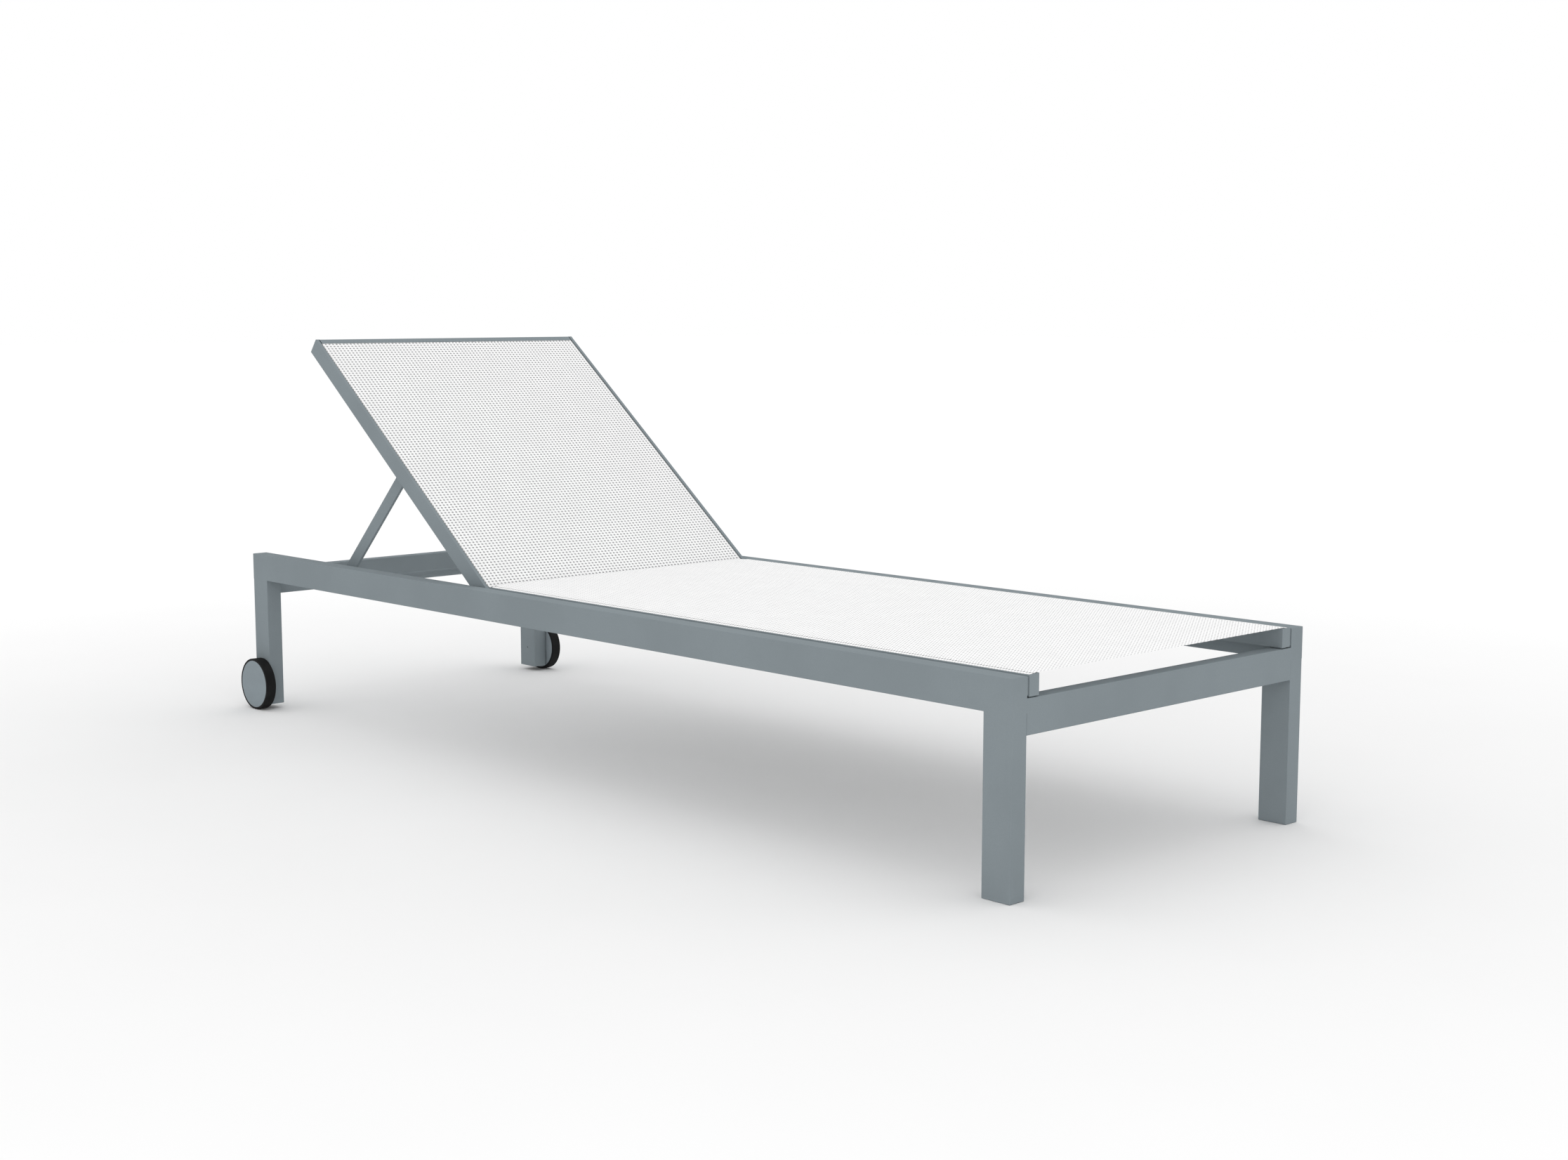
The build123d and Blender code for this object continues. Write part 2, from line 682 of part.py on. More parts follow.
def make_hub_cap():
    """Flat cap with a skirt that snaps inside the hub's rim."""
    skirt_radius = rim_radius - hub_rim
    skirt = wheel_ring(skirt_radius, skirt_radius - hub_cap_skirt, cap_back_y - hub_cap_thickness, cap_back_y)
    return wheel_disc(rim_radius, cap_back_y, cap_face_y) + skirt


def make_axle():
    """Stub axle through the leg's outer wall, with a collar between leg and hub."""
    shaft = wheel_disc(axle_radius, inner_wall_y, retainer_y + retainer_height)
    collar = wheel_disc(wheel_bush_radius + hub_boss_wall, half_width, wheel_inner_y - side_clearance)
    bore = wheel_disc(screw_hole_radius, inner_wall_y, inner_wall_y + screw_length)
    return shaft + collar - bore


def make_axle_retainer():
    y_to = retainer_y + retainer_height
    return wheel_ring(retainer_radius, axle_radius + running_clearance, retainer_y, y_to)


# ---------------------------------------------------------------- the nodes
left_hand = {
    "side_rail": make_side_rail(),
    "foot_leg": make_leg(foot_x - tube_depth / 2, glide_thickness),
    "head_leg": make_head_leg(),
    "foot_glide": make_foot_glide(),
    "seat_rail": make_seat_rail(),
    "prop_rack": make_rack(),
    "wheel_axle": make_axle(),
    "tyre": make_tyre(),
    "wheel_hub": make_hub(),
    "hub_cap": make_hub_cap(),
    "wheel_bush": make_wheel_bush(),
    "back_bar": reclined(make_back_bar()),
    "pivot_block": reclined(make_pivot_block()),
    "prop_arm": make_prop_arm(),
}

single = {
    "foot_cross_rail": make_cross_rail(foot_x - cross_rail_width / 2),
    "head_cross_rail": make_cross_rail(head_x + cross_rail_width / 2),
    "seat_sling": make_seat_sling(),
    "back_sling": reclined(make_back_sling()),
    "back_top_bar": reclined(make_top_bar()),
    "back_spreader": reclined(make_back_spreader()),
    "prop_rod": make_prop_rod(),
}
spreader_xs = [foot_x - place for place in spreader_places] + [hinge_x + spreader_rear_place]
for name, x in zip(("front", "middle", "rear"), spreader_xs):
    single[f"seat_spreader_{name}"] = make_seat_spreader(x)

in_pairs = {
    "rail_end_plates": make_end_plates(),
    "head_leg_plugs": [make_head_plug()],
    "seat_rail_caps": make_seat_caps(),
    "seat_rail_pads": [make_seat_pad()],
    "seat_rail_bolts": [make_seat_bolt(x) for x in bolt_xs],
    "seat_rail_spacers": [make_seat_spacer()],
    "seat_rail_nuts": [make_seat_nut(x) for x in bolt_xs],
    "seat_sling_splines": [make_seat_spline()],
    "rack_screws": [make_screw(x, screw_z, rail_inner_y - rack_upright) for x in screw_xs],
    "hinge_bolts": [make_hinge_bolt()],
    "hinge_washers": [make_hinge_washer()],
    "hinge_nuts": [make_hinge_nut()],
    "axle_screws": [make_screw(wheel_x, wheel_radius, rail_inner_y)],
    "axle_retainers": [make_axle_retainer()],
    "pivot_bushes": [reclined(make_pivot_bush())],
    "back_bar_caps": [reclined(make_back_cap())],
    "back_sling_splines": [reclined(make_back_spline())],
    "prop_bolts": [reclined(make_prop_bolt())],
    "prop_washers": [reclined(make_prop_washer())],
    "prop_nuts": [reclined(make_prop_nut())],
    "prop_rod_caps": [make_rod_cap()],
}

nodes = dict(single)
for name, shape in left_hand.items():
    nodes[f"{name}_left"] = shape
    nodes[f"{name}_right"] = mirrored(shape)
for name, shapes in in_pairs.items():
    solids = [solid for shape in shapes for piece in pair(shape) for solid in piece.solids()]
    nodes[name] = Compound(solids)

os.makedirs("parts", exist_ok=True)
for name, shape in nodes.items():
    export_step(shape, f"parts/{name}.step")
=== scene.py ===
import json
import math

import bpy
from mathutils import Matrix, Vector


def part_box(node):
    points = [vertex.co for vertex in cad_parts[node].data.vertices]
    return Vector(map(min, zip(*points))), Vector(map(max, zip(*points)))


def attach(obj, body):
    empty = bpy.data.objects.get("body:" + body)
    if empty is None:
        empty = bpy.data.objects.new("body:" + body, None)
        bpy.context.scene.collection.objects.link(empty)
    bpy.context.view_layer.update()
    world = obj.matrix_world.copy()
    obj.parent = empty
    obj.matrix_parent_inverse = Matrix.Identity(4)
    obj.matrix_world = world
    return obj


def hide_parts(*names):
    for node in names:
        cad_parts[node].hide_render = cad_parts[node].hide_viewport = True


# Reclining sun lounger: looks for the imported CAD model, in metres.
# Head towards -X, feet towards +X, near side towards -Y, floor at z = 0.

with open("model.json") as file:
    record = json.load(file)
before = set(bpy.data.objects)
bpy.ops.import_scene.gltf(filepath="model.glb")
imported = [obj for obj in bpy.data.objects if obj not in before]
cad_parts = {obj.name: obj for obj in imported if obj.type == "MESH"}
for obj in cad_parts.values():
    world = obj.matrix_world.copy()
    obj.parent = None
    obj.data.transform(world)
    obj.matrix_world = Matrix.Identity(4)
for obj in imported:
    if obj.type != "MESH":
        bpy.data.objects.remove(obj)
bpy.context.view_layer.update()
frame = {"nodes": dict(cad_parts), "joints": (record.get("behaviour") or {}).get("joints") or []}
nodes = frame["nodes"]
scene = bpy.context.scene

# ---------------------------------------------------------------- places taken from the frame
recline = next(joint for joint in frame["joints"] if joint["name"] == "back_recline")
hinge = Vector(recline["pos_m"])
back_angle = -math.radians(recline["range_deg"][0])   # the lower limit is where the backrest lies flat

sheet_half = 0.0006                # half of a sling's thickness
rail_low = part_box("seat_rail_left")[0]
seat_low, seat_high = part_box("seat_sling")
seat_fold = seat_high.y - sheet_half
back_fold = round(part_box("back_sling")[1].y - sheet_half, 6)

# ---------------------------------------------------------------- sizes of the woven cloth
weave_relief = 0.00016             # how far a thread rises and dips
fold_relief = 0.0005               # how far a fold dips between two threads
fold_radius = 0.00065              # a sling's bend over the edge of its rail or bar
shortest_step = 0.0008             # two rows of points closer than this become one
belly = 0.001                      # how far a stretched sling sags in its middle
belly_run = 0.15                   # how far from its free edges the sag is full
edge_blend = 0.0005                # half of the width over which the gaps' look changes

# A pitch is the thread spacing along and across, and a phase shifts the weave by a part of it.
seat_pitch = (0.00507, 0.0078)
seat_phases = (0.0, 0.5)
seat_leg = 0.0048                  # height of the leg that runs down into the slot
seat_flap = 0.009                  # free length at the rear edge, past the rails
seat_drop = (0.2855, 0.2970, 0.00105)   # the top falls between these distances, by this much
seat_bend_y = 0.2885               # where the threads begin to spread over the rail's edge
seat_hem_y = 0.2945                # where the hem's doubled cloth begins

back_pitch = (0.0066, 0.00779)
back_phases = (0.24, 0.0)
back_leg = 0.0035
back_flap = 0.006
back_start = 0.002                 # lower edge, along the bars from the hinge
back_end = 0.674                   # upper edge
shelf_above = 0.0135               # the sling's seat above the middle of the bars
back_hem_y = 0.2921
flap_inset = 0.001                 # a flap's own edge inside the fold's line

# ---------------------------------------------------------------- camera, where the photo's stood
camera_at = Vector((2.7885, -2.4423, 0.7886))
camera_azimuth = math.radians(46.675)
camera_elevation = math.radians(7.318)


def axes_at(place, first, second, third):
    """Matrix that turns the local axes to three directions, at a place."""
    return Matrix.Translation(place) @ Matrix((first, second, third)).transposed().to_4x4()


behind = Vector(
    (
        math.sin(camera_azimuth) * math.cos(camera_elevation),
        -math.cos(camera_azimuth) * math.cos(camera_elevation),
        math.sin(camera_elevation),
    )
)
right = Vector((math.cos(camera_azimuth), math.sin(camera_azimuth), 0.0))
camera_data = bpy.data.cameras.new("camera")
camera_data.sensor_width = 36.0
camera_data.lens = 48.995
camera_data.clip_end = 200.0
camera = bpy.data.objects.new("camera", camera_data)
camera.matrix_world = axes_at(camera_at, right, behind.cross(right), behind)
scene.collection.objects.link(camera)
scene.camera = camera


# ---------------------------------------------------------------- node building
class Graph:
    """Short calls for building a material's node tree."""

    def __init__(self, name):
        self.material = bpy.data.materials.new(name)
        self.material.use_nodes = True
        self.tree = self.material.node_tree
        self.tree.nodes.clear()
        self.shader = self.tree.nodes.new("ShaderNodeBsdfPrincipled")
        out = self.tree.nodes.new("ShaderNodeOutputMaterial")
        self.tree.links.new(self.shader.outputs[0], out.inputs["Surface"])
        self.coordinates = self.tree.nodes.new("ShaderNodeTexCoord").outputs["Object"]

    def feed(self, socket, value):
        """Link an output to a socket, or set the socket to a constant."""
        if isinstance(value, bpy.types.NodeSocket):
            self.tree.links.new(value, socket)
        else:
            socket.default_value = value

    def math(self, operation, first, second=0.0):
        node = self.tree.nodes.new("ShaderNodeMath")
        node.operation = operation
        self.feed(node.inputs[0], first)
        self.feed(node.inputs[1], second)
        return node.outputs[0]

    def plus(self, first, second):
        return self.math("ADD", first, second)

    def minus(self, first, second):
        return self.math("SUBTRACT", first, second)

    def times(self, first, second):
        return self.math("MULTIPLY", first, second)

    def span(self, value, low, high, to_low=0.0, to_high=1.0, smooth=True):
        """Value carried from one range to another, held at its ends."""
        node = self.tree.nodes.new("ShaderNodeMapRange")
        node.interpolation_type = "SMOOTHSTEP" if smooth else "LINEAR"
        self.feed(node.inputs["Value"], value)
        self.feed(node.inputs["From Min"], low)
        self.feed(node.inputs["From Max"], high)
        self.feed(node.inputs["To Min"], to_low)
        self.feed(node.inputs["To Max"], to_high)
        return node.outputs[0]

    def noise(self, scale, detail=3.0, roughness=0.5, stretch=(1.0, 1.0, 1.0)):
        """Noise over the object's coordinates, which are first scaled by stretch."""
        place = self.tree.nodes.new("ShaderNodeMapping")
        self.feed(place.inputs["Vector"], self.coordinates)
        self.feed(place.inputs["Scale"], stretch)
        node = self.tree.nodes.new("ShaderNodeTexNoise")
        self.feed(node.inputs["Vector"], place.outputs[0])
        self.feed(node.inputs["Scale"], scale)
        self.feed(node.inputs["Detail"], detail)
        self.feed(node.inputs["Roughness"], roughness)
        return node.outputs["Fac"]

    def cell_chance(self, along, across):
        """A number from 0 to 1 for each cell of a grid, the same over the whole cell."""
        cell = self.tree.nodes.new("ShaderNodeCombineXYZ")
        self.feed(cell.inputs[0], self.math("FLOOR", self.plus(along, 0.5)))
        self.feed(cell.inputs[1], self.math("FLOOR", self.plus(across, 0.5)))
        node = self.tree.nodes.new("ShaderNodeTexWhiteNoise")
        node.noise_dimensions = "2D"
        self.feed(node.inputs["Vector"], cell.outputs[0])
        return node.outputs["Value"]

    def mix(self, factor, first, second):
        node = self.tree.nodes.new("ShaderNodeMix")
        node.data_type = "RGBA"
        self.feed(node.inputs[0], factor)
        self.feed(node.inputs[6], first)
        self.feed(node.inputs[7], second)
        return node.outputs[2]

    def bump(self, height, distance, strength, under=None):
        node = self.tree.nodes.new("ShaderNodeBump")
        self.feed(node.inputs["Strength"], strength)
        self.feed(node.inputs["Distance"], distance)
        self.feed(node.inputs["Height"], height)
        if under is not None:
            self.feed(node.inputs["Normal"], under)
        return node.outputs[0]

    def set(self, **values):
        """Set the shader's inputs, with _ for the spaces in their names."""
        for name, value in values.items():
            self.feed(self.shader.inputs[name.replace("_", " ")], value)


def shade(colour, factor):
    """A colour made lighter or darker, with its alpha."""
    return tuple(part * factor for part in colour) + (1.0,)


# ---------------------------------------------------------------- materials
def paint_material(name, colour):
    """Powder coat: fine orange peel, faint cloudiness, a little rubbing where it is handled."""
    g = Graph(name)
    clouds = g.noise(scale=7.0, detail=4.0)
    grain = g.noise(scale=1400.0, detail=2.0, roughness=0.6)
    scuffs = g.noise(scale=55.0, detail=5.0, roughness=0.7, stretch=(1.0, 1.0, 0.35))
    peel = g.noise(scale=620.0, detail=2.0)
    base = g.mix(g.span(clouds, 0.35, 0.65), shade(colour, 0.965), shade(colour, 1.035))
    base = g.mix(g.span(grain, 0.3, 0.7, 0.0, 0.5), base, shade(colour, 0.9))
    base = g.mix(g.span(scuffs, 0.68, 0.8, 0.0, 0.28), base, shade(colour, 1.22))
    g.set(
        Base_Color=base,
        Roughness=g.span(clouds, 0.3, 0.7, 0.72, 0.82),
        Specular_IOR_Level=0.01,
        Normal=g.bump(peel, 0.00012, 0.55, under=g.bump(grain, 0.00004, 0.5)),
    )
    return g.material


def weave_material(name, pitch, phases, gap_size, painted_gap_shade, edges, painted_light_factor):
    """Coated threads in a plain weave: the crossings rise and dip, and the gaps between them are darker.

    gap_size is a gap's radius in cells. The gaps' colour is painted shade of the open spaces, which this
    closed sheet stands for.
    edges are the distances from the middle beyond which the gaps have another size and painted shade,
    because the sheet lies on its rail,
    bends or is doubled there: darker over the rail and its bend, lighter over the doubled hem.
    """
    g = Graph(name)
    split = g.tree.nodes.new("ShaderNodeSeparateXYZ")
    g.feed(split.inputs[0], g.coordinates)
    x, y = split.outputs[0], split.outputs[1]

    # Gaps lie where both counts of threads are whole.
    along = g.plus(g.math("DIVIDE", x, pitch[0]), phases[0])
    across = g.plus(g.math("DIVIDE", y, pitch[1]), phases[1])
    gap_along = g.minus(g.math("FRACT", g.plus(along, 0.5)), 0.5)
    gap_across = g.minus(g.math("FRACT", g.plus(across, 0.5)), 0.5)
    from_gap = g.math("SQRT", g.plus(g.math("POWER", gap_along, 2.0), g.math("POWER", gap_across, 2.0)))

    # The gaps are filled with painted shade, which changes past each edge.
    size, painted_shade_in_gaps = gap_size, painted_gap_shade
    for edge_y, edge_size, edge_painted_shade in edges:
        past_edge = g.span(g.math("ABSOLUTE", y), edge_y - edge_blend, edge_y + edge_blend)
        size = g.plus(size, g.times(past_edge, g.minus(edge_size, size)))
        painted_shade_in_gaps = g.mix(past_edge, painted_shade_in_gaps, edge_painted_shade)
    cover = g.span(from_gap, g.times(size, 0.75), g.times(size, 1.25))

    # Threads pass over and under each other from crossing to crossing.
    over = g.times(g.math("SINE", g.times(along, math.pi)), g.math("SINE", g.times(across, math.pi)))
    warp = g.minus(1.0, g.math("ABSOLUTE", g.times(gap_across, 2.0)))
    weft = g.minus(1.0, g.math("ABSOLUTE", g.times(gap_along, 2.0)))
    threads = g.times(over, g.minus(1.0, g.times(warp, weft)))
    height = g.times(cover, g.plus(0.6, g.times(threads, 0.4)))

    # Each gap is a little lighter or darker than the next, and so is the cloth in large patches.
    patches = g.noise(scale=26.0)
    chance = g.span(g.cell_chance(along, across), 0.0, 1.0, 0.9, 1.0, smooth=False)
    depth = g.times(g.span(patches, 0.3, 0.7, 0.9, 1.0), chance)
    gap = g.times(g.minus(1.0, cover), depth)

    fibre = g.noise(scale=900.0, detail=2.0, roughness=0.6)
    dull, bright, furred = (0.878, 0.878, 0.879), (0.926, 0.926, 0.926), (0.838, 0.838, 0.839)
    # The factor paints light into the threads: the same cloth is made lighter on the flat seat than on
    # the backrest.
    thread = g.mix(g.span(patches, 0.3, 0.7), shade(dull, painted_light_factor), shade(bright, painted_light_factor))
    thread = g.mix(g.span(fibre, 0.3, 0.7, 0.0, 0.35), thread, shade(furred, painted_light_factor))
    g.set(
        Base_Color=g.mix(gap, thread, painted_shade_in_gaps),
        Roughness=g.span(gap, 0.0, 1.0, 0.62, 0.9),
        Specular_IOR_Level=0.3,
        Sheen_Weight=0.06,
        Normal=g.bump(height, 0.0004, 0.6, under=g.bump(fibre, 0.00003, 0.4)),
    )
    return g.material


def rubber_material(name):
    """Black rubber with a fine grain and dust in it."""
    g = Graph(name)
    grain = g.noise(scale=1100.0, roughness=0.6)
    dust = g.noise(scale=60.0, detail=4.0, roughness=0.65)
    black, dusty = (0.005, 0.005, 0.0055, 1.0), (0.013, 0.013, 0.013, 1.0)
    g.set(
        Base_Color=g.mix(g.span(dust, 0.45, 0.75, 0.0, 0.6), black, dusty),
        Roughness=g.span(grain, 0.3, 0.7, 0.68, 0.82),
        Specular_IOR_Level=0.2,
        Normal=g.bump(grain, 0.00008, 0.6),
    )
    return g.material


def plastic_material(name, colour, rough, specular):
    """Moulded plastic: fine spark-eroded grain and faint flow marks."""
    g = Graph(name)
    grain = g.noise(scale=1600.0, detail=2.0, roughness=0.55)
    flow = g.noise(scale=18.0, detail=4.0, roughness=0.6, stretch=(1.0, 1.0, 2.5))
    base = g.mix(g.span(flow, 0.35, 0.65), shade(colour, 0.96), shade(colour, 1.04))
    base = g.mix(g.span(grain, 0.3, 0.7, 0.0, 0.3), base, shade(colour, 0.88))
    g.set(
        Base_Color=base,
        Roughness=g.span(flow, 0.3, 0.7, rough - 0.05, rough + 0.05),
        Specular_IOR_Level=specular,
        Normal=g.bump(grain, 0.00005, 0.5),
    )
    return g.material


def steel_material(name):
    """Zinc-plated steel: spangled plating with fine turning marks."""
    g = Graph(name)
    spangle = g.noise(scale=260.0, roughness=0.6)
    lines = g.noise(scale=500.0, detail=2.0, stretch=(1.0, 6.0, 1.0))
    dark, light = (0.44, 0.45, 0.47, 1.0), (0.60, 0.61, 0.62, 1.0)
    g.set(
        Base_Color=g.mix(g.span(spangle, 0.3, 0.7), dark, light),
        Metallic=1.0,
        Roughness=g.span(spangle, 0.3, 0.7, 0.32, 0.46),
        Normal=g.bump(lines, 0.00003, 0.4),
    )
    return g.material


materials = {
    "frame_paint": paint_material("frame_paint", (0.239, 0.275, 0.2935)),
    "tyre_rubber": rubber_material("tyre_rubber"),
    "hub_cap": plastic_material("hub_cap", (0.232, 0.275, 0.300), rough=0.55, specular=0.25),
    # The hub's plastic is lighter than the cap's; part of that is painted light, which offsets the shade
    # beside the leg.
    "wheel_plastic": plastic_material("wheel_plastic", (0.27, 0.31, 0.335), rough=0.55, specular=0.25),
    "glide_plastic": plastic_material("glide_plastic", (0.235, 0.270, 0.290), rough=0.65, specular=0.1),
    "black_nylon": plastic_material("black_nylon", (0.022, 0.022, 0.024), rough=0.5, specular=0.3),
    "spline_plastic": plastic_material("spline_plastic", (0.70, 0.70, 0.69), rough=0.5, specular=0.3),
    "zinc_steel": steel_material("zinc_steel"),
}

# The first slot with a word that is in a node's name is the node's. The axle screws are painted over.
slot_words = {
    "frame_paint": ("axle_screws",),
    "tyre_rubber": ("tyre",),
    "hub_cap": ("hub_cap",),
    "wheel_plastic": ("wheel_hub",),
    "glide_plastic": ("foot_glide", "spacers"),
    "black_nylon": ("plugs", "washers", "bush", "rod_caps"),
    "spline_plastic": ("splines",),
    "zinc_steel": ("bolts", "nuts", "screws", "wheel_axle", "retainers"),
}


def slot_of(node_name):
    """Material slot of a CAD node, which is the frame's paint where no word fits."""
    for slot_name, words in slot_words.items():
        if any(word in node_name for word in words):
            return slot_name
    return "frame_paint"


for node_name, node in nodes.items():
    node.data.materials.clear()
    node.data.materials.append(materials[slot_of(node_name)])


# ---------------------------------------------------------------- building meshes
def make_object(name, points, faces, material, smooth=False):
    """New object with a mesh of its own, in place."""
    mesh = bpy.data.meshes.new(name)
    mesh.from_pydata(points, [], faces)
    mesh.polygons.foreach_set("use_smooth", [smooth] * len(faces))
    mesh.update()
    mesh.materials.append(material)
    made = bpy.data.objects.new(name, mesh)
    scene.collection.objects.link(made)
    return made


def band(first, count, outward):
    """Quads round two loops of points, the second one right after the first."""
    quads = []
    for step in range(count):
        a, b = first + step, first + (step + 1) % count
        quad = [a, b, b + count, a + count]
        quads.append(quad if outward else quad[::-1])
    return quads


# ---------------------------------------------------------------- slings
def profile(half_width, top, leg, step):
    """Half of a sling's cross-section from the middle: (flat distance, y, z, normal y, normal z)."""
    flat_end = half_width - fold_radius
    count = int(flat_end / step)
    rows = [(index * step, index * step, top, 0.0, 1.0) for index in range(count + 1)]
    if flat_end - rows[-1][0] <= shortest_step:
        rows.pop()
    rows.append((flat_end, flat_end, top, 0.0, 1.0))
    for turn in (30.0, 60.0, 90.0):
        angle = math.radians(turn)
        rows.append(
            (
                flat_end + fold_radius * angle,
                flat_end + fold_radius * math.sin(angle),
                top - fold_radius * (1 - math.cos(angle)),
                math.sin(angle),
                math.cos(angle),
            )
        )
    rows.append((rows[-1][0] + leg, half_width, rows[-1][2] - leg, 1.0, 0.0))
    return rows


def smooth_step(value):
    """0 below 0, 1 above 1 and an even curve between them."""
    value = min(1.0, max(0.0, value))
    return value * value * (3 - 2 * value)


def make_sling(name, start, end, half_width, top, leg, pitch, phases, flap, material, drop=None):
    """Woven sheet between two rails, and its flat width. Its threads rise and dip where they cross.

    flap is how far its first edge lies free, and its half width there.
    drop is where the sheet begins and ends to fall towards its edge, and by how much.
    """
    half = profile(half_width, top, leg, pitch[1] / 2)
    section = [(-d, -y, z, -ny, nz) for d, y, z, ny, nz in half[:0:-1]] + half
    count = int(round((end - start) / (pitch[0] / 2)))
    along = [start + (end - start) * index / count for index in range(count + 1)]
    flat_half = half_width - fold_radius
    points = []
    for x in along:
        along_turn = math.pi * (x / pitch[0] + phases[0])
        from_edge = min(1.0, min(x - start, end - x) / belly_run)
        for d, y, z, ny, nz in section:
            across_turn = math.pi * (d / pitch[1] + phases[1])
            over = math.sin(along_turn) * math.sin(across_turn)
            gap = (math.cos(along_turn) * math.cos(across_turn)) ** 2
            rise, sag, fall = -fold_relief * gap, 0.0, 0.0
            if nz == 1.0:
                rise = weave_relief * (over - 0.6 * gap)
                sag = belly * max(0.0, 1 - (y / flat_half) ** 2) ** 2 * from_edge
            if drop is not None:
                fall = drop[2] * smooth_step((abs(y) - drop[0]) / (drop[1] - drop[0]))
            points.append((x, y + ny * rise, z + nz * rise - fall - sag))
    wide = len(section)
    faces = []
    for row in range(count):
        for column in range(wide - 1):
            middle_x = (along[row] + along[row + 1]) / 2
            middle_y = abs(section[column][1] + section[column + 1][1]) / 2
            if middle_x < start + flap[0] and middle_y > flap[1]:
                continue
            a = row * wide + column
            faces.append((a, a + 1, a + wide + 1, a + wide))
    return make_object(name, points, faces, material, smooth=True), half[-1][0] * 2


seat, seat_flat_width = make_sling(
    "seat_cloth",
    start=seat_low.x,
    end=seat_high.x,
    half_width=seat_fold,
    top=seat_high.z - sheet_half,
    leg=seat_leg,
    pitch=seat_pitch,
    phases=seat_phases,
    flap=(seat_flap, rail_low.y),
    drop=seat_drop,
    material=weave_material(
        "seat_weave",
        seat_pitch,
        seat_phases,
        gap_size=0.21,
        # The gaps' colours are painted shade, darkest over the rail and its bend and lighter over the
        # doubled hem.
        painted_gap_shade=(0.12, 0.122, 0.125, 1.0),
        edges=(
            (rail_low.y, 0.2, (0.05, 0.052, 0.055, 1.0)),
            (seat_bend_y, 0.3, (0.05, 0.052, 0.055, 1.0)),
            (seat_hem_y, 0.2, (0.72, 0.71, 0.69, 1.0)),
        ),
        # Painted light: the seat's threads are made lighter than the backrest's same cloth.
        painted_light_factor=1.07,
    ),
)
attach(seat, "base")
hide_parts("seat_sling")

back, back_flat_width = make_sling(
    "back_cloth",
    start=back_start,
    end=back_end,
    half_width=back_fold,
    top=shelf_above + sheet_half,
    leg=back_leg,
    pitch=back_pitch,
    phases=back_phases,
    flap=(back_flap, back_fold - flap_inset),
    material=weave_material(
        "back_weave",
        back_pitch,
        back_phases,
        gap_size=0.268,
        # The gaps' colours are painted shade, lighter over the doubled hem.
        painted_gap_shade=(0.24, 0.244, 0.248, 1.0),
        edges=((back_hem_y, 0.3, (0.42, 0.405, 0.385, 1.0)),),
        painted_light_factor=1.0,
    ),
)
along_bar = Vector((-math.cos(back_angle), 0.0, math.sin(back_angle)))
from_bar = Vector((math.sin(back_angle), 0.0, math.cos(back_angle)))
back.matrix_world = axes_at(hinge, along_bar, from_bar.cross(along_bar), from_bar)
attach(back, "back")
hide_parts("back_sling")


# ---------------------------------------------------------------- small metal pieces
def weld_fills():
    """Ground weld in the groove between a rail's rounded lower edges and the top of each leg."""
    corner = 0.0008                # outer corner radius of the tubes
    turns = [math.radians(15.0 * step) for step in range(7)]
    side_low, side_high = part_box("side_rail_left")
    points, faces = [], []
    for leg in ("foot_leg_left", "head_leg_left"):
        leg_low, leg_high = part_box(leg)
        for side in (1, -1):
            for face_y, inward in ((side_low.y, 1), (side_high.y, -1)):
                outline = [(face_y, leg_high.z)]
                for turn in turns:
                    outline.append(
                        (
                            face_y + inward * corner * (1 - math.cos(turn)),
                            leg_high.z + corner * (1 - math.sin(turn)),
                        )
                    )
                first, count = len(points), len(outline)
                for x in (leg_low.x + corner, leg_high.x - corner):
                    points += [(x, side * y, z) for y, z in outline]
                turned = side * inward < 0
                start_cap = list(range(first, first + count))
                end_cap = [index + count for index in start_cap]
                faces.append(start_cap[::-1] if turned else start_cap)
                faces.append(end_cap if turned else end_cap[::-1])
                faces += band(first, count, outward=turned)
    fills = make_object("weld_fills", points, faces, materials["frame_paint"])
    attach(fills, "base")


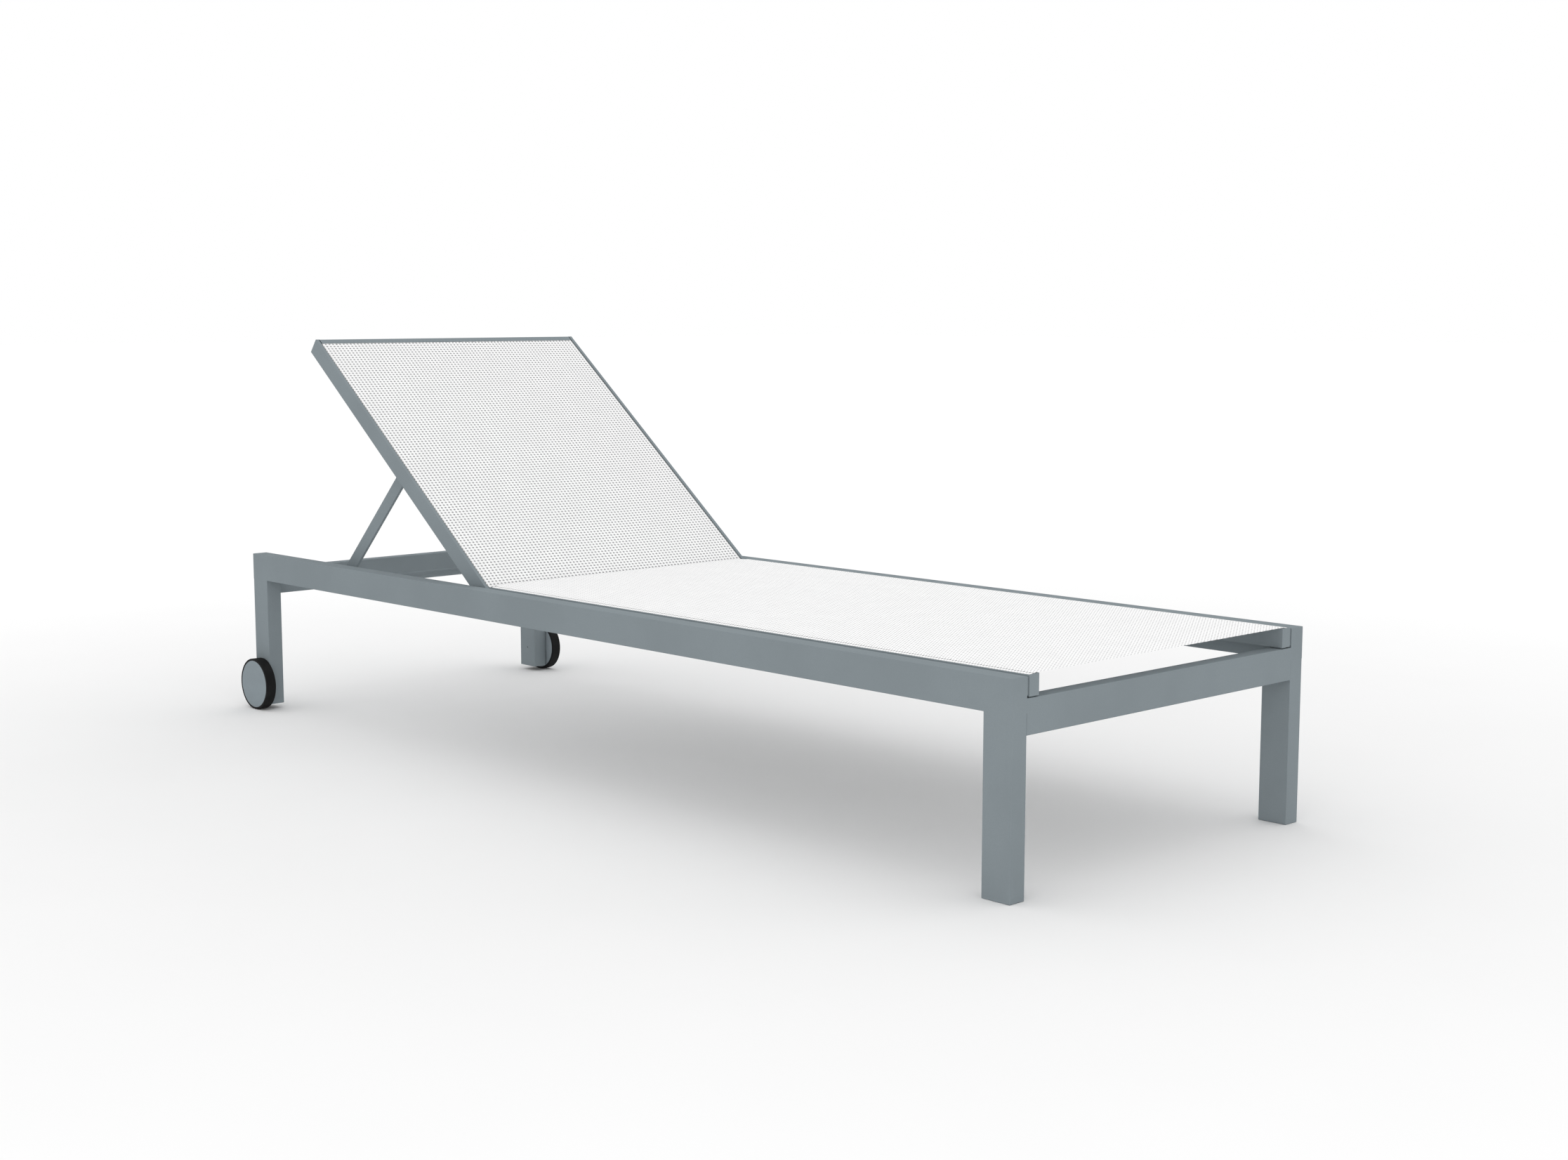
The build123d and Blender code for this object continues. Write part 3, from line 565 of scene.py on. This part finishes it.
def socket_screws(node_name, per_side, slot):
    """Countersunk screws with a hexagon socket, in the places of a node's plain ones."""
    head, shank, head_depth, length = 0.004, 0.002, 0.002, 0.009
    head_edge = 0.0001
    socket_flat = 0.00125          # half across the flats
    socket_edge, socket_depth, socket_point = 0.00015, 0.0016, 0.0003
    around = 36
    turns = [math.tau * step / around for step in range(around)]
    hexagon = [socket_flat / math.cos(turn % (math.pi / 3) - math.pi / 6) for turn in turns]
    # Radii round a ring and its depth below the head's face, from the shank's end to the socket's floor
    rings = (
        ([shank] * around, length),
        ([shank] * around, head_depth),
        ([head] * around, head_edge),
        ([head - head_edge] * around, 0.0),
        ([radius + socket_edge for radius in hexagon], 0.0),
        (hexagon, socket_edge),
        (hexagon, socket_depth),
    )
    low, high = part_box(node_name)
    face_y = high.y - length
    middle_z = (low.z + high.z) / 2
    points, faces = [], []
    for index in range(per_side):
        share = index / (per_side - 1) if per_side > 1 else 0.5
        middle_x = low.x + head + share * (high.x - low.x - 2 * head)
        for side in (1, -1):
            first = len(points)
            for radii, depth in rings:
                for turn, radius in zip(turns, radii):
                    x = middle_x + radius * math.cos(turn)
                    points.append((x, side * (face_y + depth), middle_z + radius * math.sin(turn)))
            last = len(points) - around
            for ring in range(first, last, around):
                faces += band(ring, around, outward=side > 0)
            ends = ((first, length, -side), (last, socket_depth + socket_point, side))
            for ring, depth, sense in ends:
                centre = len(points)
                points.append((middle_x, side * (face_y + depth), middle_z))
                for step in range(around):
                    fan = [ring + step, ring + (step + 1) % around, centre]
                    faces.append(fan if sense > 0 else fan[::-1])
    screws = make_object(node_name + "_detailed", points, faces, materials[slot])
    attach(screws, "base")
    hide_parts(node_name)


weld_fills()
socket_screws("axle_screws", 1, "frame_paint")
socket_screws("rack_screws", 3, "zinc_steel")


# ---------------------------------------------------------------- floor and light
def make_floor():
    """Pale floor that fades into the white round it."""
    reach = 40.0
    below = 0.0002                 # under the soles, so that no two faces share a plane
    pale, paler = (0.86, 0.86, 0.86, 1.0), (0.88, 0.88, 0.88, 1.0)
    g = Graph("floor")
    distance = g.tree.nodes.new("ShaderNodeVectorMath")
    distance.operation = "LENGTH"
    g.feed(distance.inputs[0], g.coordinates)
    g.set(
        Base_Color=g.mix(g.noise(scale=3.0), pale, paler),
        Roughness=0.9,
        Specular_IOR_Level=0.0,
        # Painted light: the floor glows more with its distance from the lounger, so that it fades into
        # the white.
        Emission_Color=(1.0, 1.0, 1.0, 1.0),
        Emission_Strength=g.span(distance.outputs["Value"], 0.95, 2.9, 0.0, 0.14, smooth=False),
    )
    corners = [(-reach, -reach, 0), (reach, -reach, 0), (reach, reach, 0), (-reach, reach, 0)]
    floor = make_object("floor", corners, [(0, 1, 2, 3)], g.material)
    floor.location.z = -below


def softbox(name, place, target, size, power):
    """Rectangular studio light that faces its target."""
    light = bpy.data.lights.new(name, "AREA")
    light.shape = "RECTANGLE"
    light.size, light.size_y = size
    light.energy = power
    lamp = bpy.data.objects.new(name, light)
    lamp.location = place
    lamp.rotation_euler = (Vector(target) - Vector(place)).to_track_quat("-Z", "Y").to_euler()
    scene.collection.objects.link(lamp)


make_floor()
softbox("softbox_front", (3.2, -3.4, 2.2), target=(0.0, 0.0, 0.2), size=(3.0, 2.0), power=9.5)
softbox("softbox_top", (0.0, 0.0, 4.0), target=(0.0, 0.0, 0.0), size=(4.0, 3.0), power=8.0)

world = bpy.data.worlds.new("studio")
scene.world = world
world.use_nodes = True
background = world.node_tree.nodes["Background"]
background.inputs["Color"].default_value = (1.0, 1.0, 1.0, 1.0)
background.inputs["Strength"].default_value = 1.0

scene.view_settings.view_transform = "Standard"
scene.view_settings.look = "None"
scene.view_settings.exposure = 0.0
scene.view_settings.gamma = 1.0
